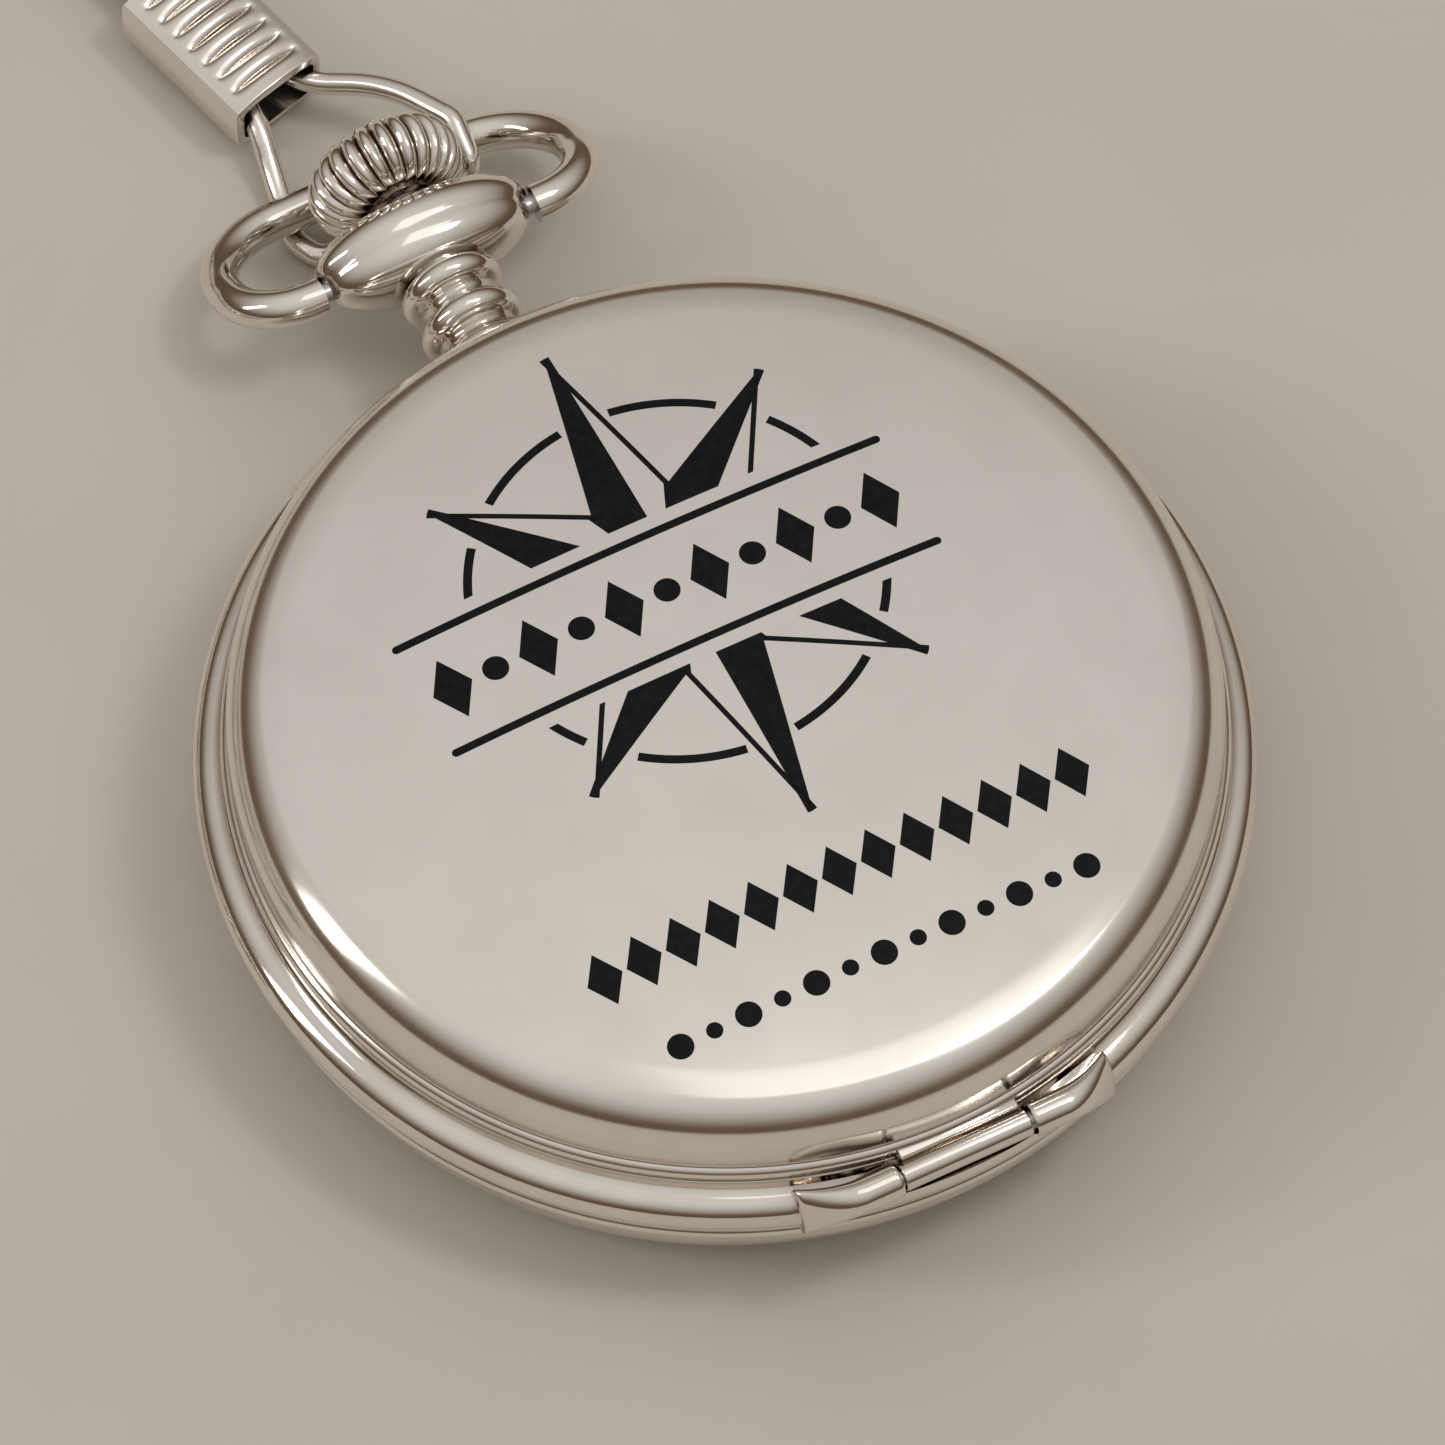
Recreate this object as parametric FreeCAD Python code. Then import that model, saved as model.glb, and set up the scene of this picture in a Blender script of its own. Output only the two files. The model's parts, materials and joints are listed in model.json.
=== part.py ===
import FreeCAD, Part
import math
import os

# A full-hunter pocket watch on its chain.  Units are millimetres.
# Origin: centre of the flat on the case back.  +Y points to the crown (12 o'clock),
# +Z out of the front lid.  The watch lies on its back and the chain lies behind it.

# ---- driving dimensions -------------------------------------------------------------
CASE_R = 23.5          # outside radius at the bead round the middle
CASE_T = 14.0          # from the flat on the back to the top of the lid
WALL = 0.7             # thickness of the lid
SEAM_Z = 8.15          # where the lid closes on the case band
BACK_RIM_Z = 4.1       # where the snap-on back meets the case band
LEDGE_Z = 7.1          # ledge in the band that carries the bezel
LID_R = 22.0           # side of the lid
HINGE_Y = -22.95       # lid hinge axis, along X
HINGE_Z = 8.0
KNUCKLE_HALF = 3.1     # half length of the lid's middle knuckle
KNUCKLE_R = 0.78
LUG_STRAIGHT = 4.9     # the outer knuckles run straight to here
LUG_END = 7.6          # half width of the whole hinge
PIN_R = 0.4            # lid hinge pin
STEM_Z = 6.0           # height of the winding stem's axis
STEM_R = 0.45
BOW_Y = 29.6           # bow pivots, along X
BOW_R = 0.88           # bow wire radius
BOW_LENGTH = 7.5       # pivot to the middle of the bow's bar
BOW_TILT = 30.0        # the bow droops towards the table
HEAD_TOP = 31.45       # outer end of the pendant's head
HEAD_WIDTH = 2.0       # the head is this many times as wide as it is thick
TUBE_R = 1.5           # short tube on the head that the crown slips over
CROWN_R = 3.65
CROWN_Y = 32.0         # underside of the crown
CROWN_FLUTES = 26
DIAL_Z = 6.8
DIAL_T = 0.25
HAND_T = 0.12
HOUR_Z, MINUTE_Z, SECOND_Z = 7.3, 7.65, 7.98
MINUTE_WHEEL_X = 2.88
CLIP_LEAN = 15.0       # the clip's axis leans this far from +Y towards -X
CLIP_Z = 2.3           # height of the clip's axis
MOUTH = 5.8            # from the bow's bar to the mouth of the sleeve
SLEEVE_LENGTH = 8.0
SLEEVE_W, SLEEVE_H = 5.0, 3.1
JAW_R = 0.54
JAW_PIN = (0.85, 8.7)  # side offset and distance of the jaw pins along the clip
LINK_R = 0.6           # chain wire radius
LINK_L, LINK_W = 7.0, 4.5
LINK_GAP = 0.17        # play between two links
LINK_ROLL = 45.0       # links lie on alternate corners
LINKS = 50
LINKS_PER_SEGMENT = 5
BEND = 28.0            # turn from one link to the next in a bend of the chain
TOGGLE_R, TOGGLE_L = 1.1, 24.0
PITCH = LINK_L - 4 * LINK_R - LINK_GAP
CHAIN_Z = (LINK_W / 2 - LINK_R) * math.sin(math.radians(LINK_ROLL)) + LINK_R

X, Y, Z = FreeCAD.Vector(1, 0, 0), FreeCAD.Vector(0, 1, 0), FreeCAD.Vector(0, 0, 1)
ORIGIN = FreeCAD.Vector(0, 0, 0)


def vec(x, y, z=0.0):
    return FreeCAD.Vector(x, y, z)


# ---- general shapes -----------------------------------------------------------------
def outline(start, *steps):
    """A closed outline in the plane Z = 0.  A step is (x, y) for a straight line,
    or ((x, y), (x, y)) for an arc through the first point to the second."""
    edges = []
    here = vec(*start)
    for step in steps:
        if isinstance(step[0], tuple):
            through, there = vec(*step[0]), vec(*step[1])
            edges.append(Part.Arc(here, through, there).toShape())
        else:
            there = vec(*step)
            edges.append(Part.makeLine(here, there))
        here = there
    first = vec(*start)
    if here.distanceToPoint(first) > 1e-6:
        edges.append(Part.makeLine(here, first))
    return Part.Wire(edges)


def turned(start, *steps):
    """Solid of revolution about Z from an outline of (radius, height)."""
    wire = outline(start, *steps)
    wire.rotate(ORIGIN, X, 90)
    return Part.Face(wire).revolve(ORIGIN, Z, 360)


def dome(start, top, inward=True):
    """Step for an outline: a spherical arc between a point (radius, height) and the
    axis at height top.  Inward runs from the point to the axis, outward the other way."""
    radius, height = start
    rise = top - height
    sphere = (radius ** 2 + rise ** 2) / (2 * rise)
    half = math.asin(radius / sphere) / 2
    middle = (sphere * math.sin(half), top - sphere * (1 - math.cos(half)))
    return (middle, (0, top)) if inward else (middle, start)


def turned_about_y(z, start, *steps):
    """Solid of revolution about the line x = 0, height z, from (radius, y)."""
    solid = Part.Face(outline(start, *steps)).revolve(ORIGIN, Y, 360)
    solid.translate(vec(0, 0, z))
    return solid


def rod(radius, start, end):
    axis = end - start
    return Part.makeCylinder(radius, axis.Length, start, axis)


def ring(inner, outer, low, high):
    return turned((inner, low), (outer, low), (outer, high), (inner, high))


def disc(radius, low, high, x=0.0, y=0.0):
    return Part.makeCylinder(radius, high - low, vec(x, y, low))


def block(x0, x1, y0, y1, z0, z1):
    return Part.makeBox(x1 - x0, y1 - y0, z1 - z0, vec(x0, y0, z0))


def plate(wire, low, high):
    face = Part.Face(wire)
    face.translate(vec(0, 0, low))
    return face.extrude(vec(0, 0, high - low))


def bent_path(points, radii):
    """Straight runs joined by tangent arcs, one radius for each inner point."""
    edges = []
    here = points[0]
    for before, corner, after, radius in zip(points, points[1:], points[2:], radii):
        back = (before - corner).normalize()
        on = (after - corner).normalize()
        half = back.getAngle(on) / 2
        reach = radius / math.tan(half)
        start = corner + back * reach
        end = corner + on * reach
        inward = (back + on).normalize()
        middle = corner + inward * (radius / math.sin(half) - radius)
        if here.distanceToPoint(start) > 1e-4:
            edges.append(Part.makeLine(here, start))
        edges.append(Part.Arc(start, middle, end).toShape())
        here = end
    edges.append(Part.makeLine(here, points[-1]))
    return Part.Wire(edges)


def wire_along(points, radii, radius, round_ends=True):
    """Round wire along a bent path."""
    path = bent_path(points, radii)
    heading = points[1] - points[0]
    section = Part.Wire(Part.makeCircle(radius, points[0], heading))
    solid = path.makePipeShell([section], True, False)
    if not round_ends:
        return solid
    for end in (points[0], points[-1]):
        solid = solid.fuse(Part.makeSphere(radius, end))
    return solid.removeSplitter()


def round_copies(shape, count, centre=ORIGIN, axis=Z):
    copies = []
    for number in range(count):
        copy = shape.copy()
        copy.rotate(centre, axis, 360.0 * number / count)
        copies.append(copy)
    return copies


def clock(shape, degrees):
    """Turns a shape clockwise about the watch's centre, as seen from the front."""
    turned_shape = shape.copy()
    turned_shape.rotate(ORIGIN, Z, -degrees)
    return turned_shape


# ---- case ---------------------------------------------------------------------------
def case_back():
    """Shallow dish with a flat to rest on and a lip that snaps into the band."""
    rim = BACK_RIM_Z - 0.05
    return turned((0, 0), (13.5, 0), ((17.6, 0.25), (20.9, 1.2)), ((22.1, 2.2), (22.55, 3.6)),
                  (22.55, rim), (21.3, rim), (21.3, 5.0), (20.75, 5.0), (20.75, 3.6),
                  ((20.2, 2.3), (18.6, 1.4)), ((16.2, 0.95), (13.5, 0.8)), (0, 0.8))


def back_gasket():
    return ring(20.0, 20.7, 4.5, 4.95)


def hinge_lug(side):
    """Outer knuckle of the lid hinge, which sweeps down and widens into the bead."""
    inner = side * (KNUCKLE_HALF + 0.15)
    straight = side * LUG_STRAIGHT
    barrel = rod(KNUCKLE_R, vec(inner, HINGE_Y, HINGE_Z), vec(straight, HINGE_Y, HINGE_Z))
    drop = 1.05
    sections = []
    for share, sweep in ((0.0, 0.0), (0.5, 0.28), (1.0, 1.0)):
        x = straight + side * (LUG_END - LUG_STRAIGHT) * share
        centre = vec(x, HINGE_Y + drop * sweep, HINGE_Z - drop * sweep)
        down = vec(0, -0.35, -0.937) * (KNUCKLE_R + 0.01 + 0.5 * sweep)
        across = vec(0, 0.937, -0.35) * (KNUCKLE_R - 0.17 * sweep)
        section = Part.Ellipse(centre + down, centre + across, centre)
        sections.append(Part.Wire(section.toShape()))
    flare = Part.makeLoft(sections, True)
    low, high = sorted((inner, straight))
    foot = block(low, high, HINGE_Y + 0.05, -21.9, 6.7, HINGE_Z - 0.1)
    return barrel.fuse([flare, foot])


def case_band():
    """Middle of the case, with its two beads, the hinge lugs and the stem hole."""
    body = turned((21.4, BACK_RIM_Z), (22.5, BACK_RIM_Z), ((23.0, 4.6), (22.55, 5.1)), (22.45, 5.3),
                  (22.6, 5.5), ((CASE_R, 6.55), (22.6, 7.6)), (22.3, 7.75), (22.15, SEAM_Z),
                  (21.2, SEAM_Z), (21.2, LEDGE_Z), (19.6, LEDGE_Z), (19.6, 5.3), (21.4, 5.3))
    body = body.cut(block(-LUG_END, LUG_END, -26, -22.0, 6.95, 9))
    body = body.fuse([hinge_lug(-1), hinge_lug(1)])
    pin_end = LUG_STRAIGHT + 0.1
    body = body.cut(rod(PIN_R + 0.01, vec(-pin_end, HINGE_Y, HINGE_Z), vec(pin_end, HINGE_Y, HINGE_Z)))
    body = body.cut(rod(0.6, vec(0, 18, STEM_Z), vec(0, 25, STEM_Z)))
    catch_slot = block(-1.1, 1.1, 19.3, 20.95, 5.0, LEDGE_Z + 0.1)
    return body.cut(catch_slot)


def lid_hinge_pin():
    return rod(PIN_R, vec(-LUG_STRAIGHT, HINGE_Y, HINGE_Z), vec(LUG_STRAIGHT, HINGE_Y, HINGE_Z))


def front_lid():
    """Domed cover with a rolled lip, a rounded shoulder and the middle knuckle."""
    lip = SEAM_Z + 0.05
    top = CASE_T
    body = turned((LID_R, lip), ((22.25, lip + 0.4), (21.95, lip + 0.85)), (21.95, 10.5),
                  ((21.45, 11.85), (20.3, 12.65)), dome((20.3, 12.65), top), (0, top - WALL),
                  dome((20.0, 12.0), top - WALL, inward=False), ((20.9, 11.4), (21.25, 10.4)),
                  (21.25, lip))
    knuckle = rod(KNUCKLE_R, vec(-KNUCKLE_HALF, HINGE_Y, HINGE_Z), vec(KNUCKLE_HALF, HINGE_Y, HINGE_Z))
    web = block(-2.9, 2.9, HINGE_Y, -21.5, lip + 0.05, lip + 0.6)
    bore = rod(PIN_R + 0.05, vec(-4, HINGE_Y, HINGE_Z), vec(4, HINGE_Y, HINGE_Z))
    return body.fuse([knuckle, web]).cut(bore)


def lid_lift_spring():
    """Leaf spring on the ledge beside the hinge that throws the lid open."""
    leaf = turned((21.05, 7.2), (21.15, 7.2), (21.15, 8.1), (21.05, 8.1))
    return leaf.common(block(-9, 9, -22, -18, 7, 9))


def bezel():
    body = turned((18.4, LEDGE_Z + 0.02), (20.95, LEDGE_Z + 0.02), (20.95, 8.9),
                  ((20.75, 9.3), (20.3, 9.45)), (19.5, 9.45), (19.3, 9.2), (19.3, 8.3), (18.4, 8.3))
    return body.cut(block(-2.1, 2.1, 19.5, 22, 7, 10))


def crystal():
    return turned((0, 9.0), dome((19.26, 8.32), 9.0, inward=False), (19.26, 9.2), dome((19.26, 9.2), 9.95))


def lid_catch():
    """Tooth that holds the lid shut, with the tongue that the stem's collar pushes."""
    post = block(-1.8, 1.8, 20.1, 20.65, LEDGE_Z + 0.15, 9.0)
    tooth = block(-1.8, 1.8, 20.5, 21.05, 8.55, 9.0)
    tongue = block(-0.8, 0.8, 20.0, 20.65, STEM_Z + 0.55, LEDGE_Z + 0.2)
    return post.fuse([tooth, tongue])


# ---- pendant, crown and bow ---------------------------------------------------------
def pendant(band):
    """Turned neck with two rings, and a wide oval head that takes stem and bow."""
    neck = turned_about_y(STEM_Z, (0, 22.62), (2.55, 22.62), (2.45, 23.5), ((2.0, 24.0), (1.9, 24.5)),
                          ((2.45, 25.1), (1.95, 25.75)), ((1.6, 26.1), (1.85, 26.5)),
                          ((2.45, 27.1), (1.8, 27.75)), (1.5, 28.4), (0, 28.4))
    head = turned_about_y(STEM_Z, (0, 27.8), (0.8, 27.8), ((1.95, 28.3), (2.5, 29.7)),
                          ((2.6, 30.5), (2.3, 31.15)), ((2.1, 31.4), (1.8, HEAD_TOP)), (0, HEAD_TOP))
    tube = rod(TUBE_R, vec(0, 28, STEM_Z), vec(0, CROWN_Y - 0.1, STEM_Z))
    widen = FreeCAD.Matrix()
    widen.scale(HEAD_WIDTH, 1.0, 1.0)
    head = head.transformGeometry(widen)
    body = neck.fuse([head, tube])
    bore = rod(STEM_R + 0.1, vec(0, 20, STEM_Z), vec(0, 34, STEM_Z))
    studs = rod(0.5, vec(-6, BOW_Y, STEM_Z), vec(6, BOW_Y, STEM_Z))
    return body.cut([bore, studs, band])


def bow_studs():
    """One stud each side of the pendant's head, which the bow swings on."""
    studs = []
    for side in (-1, 1):
        studs.append(rod(0.49, vec(side * 3.0, BOW_Y, STEM_Z), vec(side * 6.0, BOW_Y, STEM_Z)))
    return Part.makeCompound(studs)


def crown():
    """Onion crown, fluted along its axis and hollowed to slip over the pendant's tube."""
    base, tip = CROWN_Y, CROWN_Y + 3.5
    bore = STEM_R + 0.03
    body = turned_about_y(STEM_Z, (bore, base), (2.1, base), ((3.1, base + 0.45), (CROWN_R, base + 1.5)),
                          ((3.5, base + 2.6), (2.6, base + 3.25)), ((2.2, base + 3.45), (1.6, tip)),
                          (0, tip), (0, base + 2.4), (bore, base + 2.4))
    start = vec(2.6, base - 0.1, STEM_Z)
    path = Part.Wire(Part.Arc(start, vec(CROWN_R + 0.05, base + 1.6, STEM_Z),
                              vec(2.55, base + 3.4, STEM_Z)).toShape())
    section = Part.Wire(Part.makeCircle(0.25, start, vec(1, 1, 0)))
    groove = path.makePipeShell([section], True, False)
    hollow = rod(TUBE_R + 0.15, vec(0, base - 0.1, STEM_Z), vec(0, base + 0.65, STEM_Z))
    return body.cut(round_copies(groove, CROWN_FLUTES, vec(0, 0, STEM_Z), Y)).cut(hollow)


def winding_stem():
    """Stem through the pendant, with the collar that pushes the catch."""
    shaft = rod(STEM_R, vec(0, 13.4, STEM_Z), vec(0, CROWN_Y + 2.35, STEM_Z))
    collar = rod(0.85, vec(0, 20.68, STEM_Z), vec(0, 20.88, STEM_Z))
    return shaft.fuse(collar)


def bow():
    """Stirrup of round wire, bored for the studs and tilted towards the table."""
    low, high = -0.1, BOW_LENGTH
    points = [vec(5.3, low), vec(8.5, low), vec(8.9, high), vec(-8.9, high), vec(-8.5, low),
              vec(-5.3, low)]
    loop = wire_along(points, [2.9, 4.2, 4.2, 2.9], BOW_R, round_ends=False)
    loop = loop.cut(rod(0.56, vec(-6.1, 0), vec(6.1, 0)))
    loop.rotate(ORIGIN, X, -BOW_TILT)
    loop.translate(vec(0, BOW_Y, STEM_Z))
    return loop


def dial():
    return ring(1.35, 19.4, DIAL_Z, DIAL_Z + DIAL_T)


def hour_markers():
    """Twelve applied batons, a double one at 12 o'clock."""
    low, high = DIAL_Z + DIAL_T, DIAL_Z + DIAL_T + 0.18
    baton = block(-0.35, 0.35, 13.8, 17.2, low, high)
    batons = [clock(baton, 30 * hour) for hour in range(1, 12)]
    pair = [block(side * 0.6 - 0.3, side * 0.6 + 0.3, 13.8, 17.2, low, high) for side in (-1, 1)]
    return Part.makeCompound(batons + pair)


def leaf_hand(length, width, hub, bore, low):
    """Lance-shaped hand with a round hub."""
    wire = outline((0, length), ((width * 0.75, length * 0.7), (width, length * 0.45)),
                   ((width * 0.7, length * 0.2), (0.25, 0)), (0.25, -1.6), (-0.25, -1.6), (-0.25, 0),
                   ((-width * 0.7, length * 0.2), (-width, length * 0.45)),
                   ((-width * 0.75, length * 0.7), (0, length)))
    hand = plate(wire, low, low + HAND_T).fuse(disc(hub, low, low + HAND_T))
    return hand.cut(disc(bore, low - 1, low + 1))


def second_hand():
    wire = outline((0.06, 16.4), (0.14, -4.2), (-0.14, -4.2), (-0.06, 16.4))
    hand = plate(wire, SECOND_Z, SECOND_Z + HAND_T)
    top = SECOND_Z + HAND_T
    hand = hand.fuse([disc(0.62, SECOND_Z, top), disc(0.7, SECOND_Z, top, 0, -3.4)])
    return hand.cut(disc(0.2, SECOND_Z - 1, SECOND_Z + 1))


def toothed_wheel(teeth, tip, low, high):
    """Wheel with plain pointed teeth."""
    root = tip * (1 - 2.2 / (teeth + 2))
    points = []
    for tooth in range(teeth):
        for share, radius in ((0.0, root), (0.3, tip), (0.5, tip), (0.8, root)):
            angle = 2 * math.pi * (tooth + share) / teeth
            points.append(vec(radius * math.cos(angle), radius * math.sin(angle)))
    points.append(points[0])
    return plate(Part.makePolygon(points), low, high)


def cannon_pinion():
    tube = disc(0.6, 5.75, MINUTE_Z + HAND_T + 0.03)
    return tube.fuse(toothed_wheel(12, 0.75, 5.75, 6.05)).cut(disc(0.3, 5, 9))


def hour_wheel():
    tube = disc(0.95, 6.15, HOUR_Z + HAND_T + 0.03)
    return tube.fuse(toothed_wheel(40, 2.25, 6.15, 6.4)).cut(disc(0.66, 5, 9))


def minute_wheel():
    """Motion wheel and its pinion, between the cannon pinion and the hour wheel."""
    wheel = toothed_wheel(36, 2.08, 5.75, 6.05)
    wheel = wheel.fuse(toothed_wheel(10, 0.58, 6.05, 6.4)).cut(disc(0.22, 5, 7))
    wheel.translate(vec(MINUTE_WHEEL_X, 0, 0))
    return wheel


def seconds_arbor():
    return disc(0.2, 5.2, SECOND_Z + HAND_T + 0.05)


def main_plate():
    """Movement plate with the pocket for the motion work and the stem's slot."""
    body = disc(13.2, 4.9, 6.72)
    pocket = disc(5.2, 5.65, 7, 1.2, 0)
    stem_slot = block(-0.7, 0.7, 10, 14, STEM_Z - 0.7, 7)
    post = disc(0.18, 5.6, 6.5, MINUTE_WHEEL_X, 0)
    body = body.cut([pocket, stem_slot, disc(0.3, 4, 7)])
    return body.fuse(post)


def movement_ring():
    body = ring(13.3, 19.4, 2.2, 6.75)
    return body.cut(rod(0.7, vec(0, 12, STEM_Z), vec(0, 20, STEM_Z)))


def circuit_board():
    board = disc(12.6, 2.5, 2.8)
    return board.cut([disc(5.3, 2, 3, 5.6, 3.2), block(-9, 3, -9.5, -5.5, 2, 3)])


def train_bridge():
    body = disc(12.8, 3.1, 4.85)
    battery_well = disc(5.2, 2, 5, 5.6, 3.2)
    coil_well = block(-8.6, 2.6, -9.2, -5.8, 2, 5)
    return body.cut([battery_well, coil_well])


def battery():
    return disc(4.75, 2.55, 4.6, 5.6, 3.2)


def battery_clamp():
    return block(1.5, 9.5, 2.4, 4.0, 2.15, 2.4)


def drive_coil():
    core = block(-8.3, 2.3, -8.0, -7.0, 3.4, 4.0)
    winding = rod(1.1, vec(-7.2, -7.5, 3.7), vec(1.2, -7.5, 3.7))
    return winding.fuse(core)


def movement_screws():
    heads = [disc(0.75, 2.1, 2.45, x, y) for x, y in ((-9, 4), (-4, 9.5), (4.5, -10.5), (-10.2, -3))]
    return Part.makeCompound(heads)


# ---- clip ---------------------------------------------------------------------------
def to_clip(shape):
    """Moves a shape from the clip's own axes (across, along, up) to its place."""
    placed = shape.copy()
    placed.rotate(ORIGIN, Z, CLIP_LEAN)
    placed.translate(clip_origin())
    return placed


def clip_origin():
    tilt = math.radians(BOW_TILT)
    return vec(-0.05, BOW_Y + BOW_LENGTH * math.cos(tilt), CLIP_Z)


def clip_point(across, along, up=0.0):
    point = FreeCAD.Rotation(Z, CLIP_LEAN).multVec(vec(across, along, up))
    return point + clip_origin()


def clip_sleeve():
    """Ribbed sliding sleeve with an open mouth and a hole for the shank behind."""
    half_w, half_h = SLEEVE_W / 2, SLEEVE_H / 2
    shoulder = half_h - 0.45
    wire = outline((-half_w + 0.5, -half_h), (half_w - 0.5, -half_h), ((half_w - 0.14, -half_h + 0.14),
                   (half_w, -half_h + 0.5)), (half_w, shoulder - 0.2), ((half_w - 0.12, shoulder + 0.06),
                   (half_w - 0.45, shoulder + 0.2)), ((0, half_h + 0.15), (-half_w + 0.45, shoulder + 0.2)),
                   ((-half_w + 0.12, shoulder + 0.06), (-half_w, shoulder - 0.2)),
                   (-half_w, -half_h + 0.5), ((-half_w + 0.14, -half_h + 0.14), (-half_w + 0.5, -half_h)))
    body = plate(wire, 0, SLEEVE_LENGTH)
    body = body.cut(block(-2.1, 2.1, -1.2, 1.15, -1, SLEEVE_LENGTH - 0.5))
    body = body.cut(disc(0.85, SLEEVE_LENGTH - 1, SLEEVE_LENGTH + 1))
    disc_r, depth = 5.6, 0.3
    centre_up = half_h + 0.1 + disc_r - depth
    slots = []
    for number in range(7):
        low = 0.75 + number
        slots.append(Part.makeCylinder(disc_r, 0.5, vec(0, centre_up, low)))
    body = body.cut(slots)
    # the outline was drawn across and up, and extruded along: turn it to (across, along, up)
    body.rotate(ORIGIN, X, 90)
    body = body.mirror(ORIGIN, Y)
    body.translate(vec(0, MOUTH, 0))
    return to_clip(body)


def clip_frame():
    """Head that carries the jaws, shank, rear collar and the eye for the chain."""
    pin_x, pin_y = JAW_PIN
    head = block(-1.75, 1.75, pin_y - 1.0, pin_y + 2.2, -1.0, 1.0)
    head = head.cut(block(-1.8, 1.8, pin_y - 1.1, pin_y + 1.1, -0.62, 0.62))
    pins = [disc(0.32, -2, 2, side * pin_x, pin_y) for side in (-1, 1)]
    head = head.cut(pins)
    rear = MOUTH + SLEEVE_LENGTH + 4.2
    shank = rod(0.7, vec(0, pin_y + 2.0, 0), vec(0, rear, 0))
    collar = rod(1.7, vec(0, rear - 0.6, 0), vec(0, rear, 0))
    return to_clip(head.fuse([shank, collar])).fuse(clip_eye())


def jaw(side):
    """Curved jaw: one passes under the bow's bar, the other over it, and their
    tips meet between the bar and the pendant."""
    pin_x, pin_y = JAW_PIN
    if side < 0:
        points = [(-0.85, pin_y, 0.0), (-1.4, 5.7, -0.1), (-2.6, 3.0, -1.45), (-3.75, 0.4, -1.6),
                  (-3.5, -1.0, -1.6), (-1.05, -1.75, -1.6)]
        radii = [5.0, 8.0, 0.8, 0.9]
    else:
        points = [(0.85, pin_y, 0.0), (1.4, 5.7, 0.1), (3.75, 2.6, 1.2), (4.5, -1.0, 1.8),
                  (3.85, -3.0, 1.1), (2.8, -3.1, -1.35), (0.05, -2.2, -1.5)]
        radii = [5.0, 8.0, 0.9, 0.8, 0.9]
    wire = wire_along([vec(*point) for point in points], radii, JAW_R)
    eye = disc(0.8, -0.5, 0.5, side * pin_x, pin_y)
    body = wire.fuse(eye).cut(disc(0.36, -2, 2, side * pin_x, pin_y))
    return to_clip(body)


def jaw_pins():
    pin_x, pin_y = JAW_PIN
    pins = [disc(0.31, -1.0, 1.0, side * pin_x, pin_y) for side in (-1, 1)]
    return to_clip(Part.makeCompound(pins))


def sleeve_spring():
    """Compression spring between the sleeve and the collar."""
    start = MOUTH + SLEEVE_LENGTH + 0.25
    length = 3.0
    helix = Part.makeHelix(0.62, length, 1.1)
    section = Part.Wire(Part.makeCircle(0.2, vec(1.1, 0, 0), Y))
    coil = Part.Wire(helix).makePipeShell([section], True, True)
    coil.rotate(ORIGIN, X, -90)
    coil.translate(vec(0, start, 0))
    return to_clip(coil)


# ---- chain --------------------------------------------------------------------------
def stadium_link():
    """One link: round wire bent to a stadium, long axis on X, lying in the XY plane."""
    half_w = LINK_W / 2 - LINK_R
    straight = LINK_L / 2 - LINK_R - half_w
    edges = [Part.makeLine(vec(-straight, half_w), vec(straight, half_w)),
             Part.Arc(vec(straight, half_w), vec(straight + half_w, 0), vec(straight, -half_w)).toShape(),
             Part.makeLine(vec(straight, -half_w), vec(-straight, -half_w)),
             Part.Arc(vec(-straight, -half_w), vec(-straight - half_w, 0), vec(-straight, half_w)).toShape()]
    section = Part.Wire(Part.makeCircle(LINK_R, vec(0, half_w), X))
    start = Part.Wire([Part.makeLine(vec(0, half_w), vec(straight, half_w))] + edges[1:3] + [edges[3],
                      Part.makeLine(vec(-straight, half_w), vec(0, half_w))])
    return start.makePipeShell([section], True, False)


def place_link(shape, number, centre, heading):
    """Rolls a link onto its corner, points it along the heading and puts it there."""
    placed = shape.copy()
    placed.rotate(ORIGIN, X, LINK_ROLL if number % 2 == 0 else -LINK_ROLL)
    placed.rotate(ORIGIN, Z, heading)
    placed.translate(centre)
    return placed


def chain_turns():
    """Turn of the heading before each link: from the clip round to the left, down
    beside the watch, up again and down once more in three folds."""
    turns = [0] + [BEND] * 5 + fold_run(11) + [-BEND] * 6 + fold_run(11) + [BEND] * 6
    return turns + fold_run(LINKS + 3 - len(turns))


def fold_run(count):
    """Slight wave in a run between two folds; its turns add up to about nothing."""
    return [3.5 * math.sin(2 * math.pi * (number + 0.5) / count) for number in range(count)]


def chain_route():
    """Centre and heading of the clip's eye, of every link and of the toggle's eye."""
    heading = 90 + CLIP_LEAN
    eye = clip_point(0, MOUTH + SLEEVE_LENGTH + 4.2 + LINK_L / 2 - 0.9)
    eye.z = CHAIN_Z
    stations = [(eye, heading)]
    centre = eye
    for turn in chain_turns():
        step = vec(math.cos(math.radians(heading)), math.sin(math.radians(heading)))
        joint = centre + step * (PITCH / 2)
        heading += turn
        step = vec(math.cos(math.radians(heading)), math.sin(math.radians(heading)))
        centre = joint + step * (PITCH / 2)
        stations.append((centre, heading))
    return stations


def clip_eye():
    centre, heading = chain_route()[0]
    return place_link(stadium_link(), 0, centre, heading)


def chain_links(first, last):
    """The links from first to last as separate solids in one node."""
    route = chain_route()
    links = []
    for number in range(first, last + 1):
        centre, heading = route[number]
        links.append(place_link(stadium_link(), number, centre, heading))
    return Part.makeCompound(links)


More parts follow.
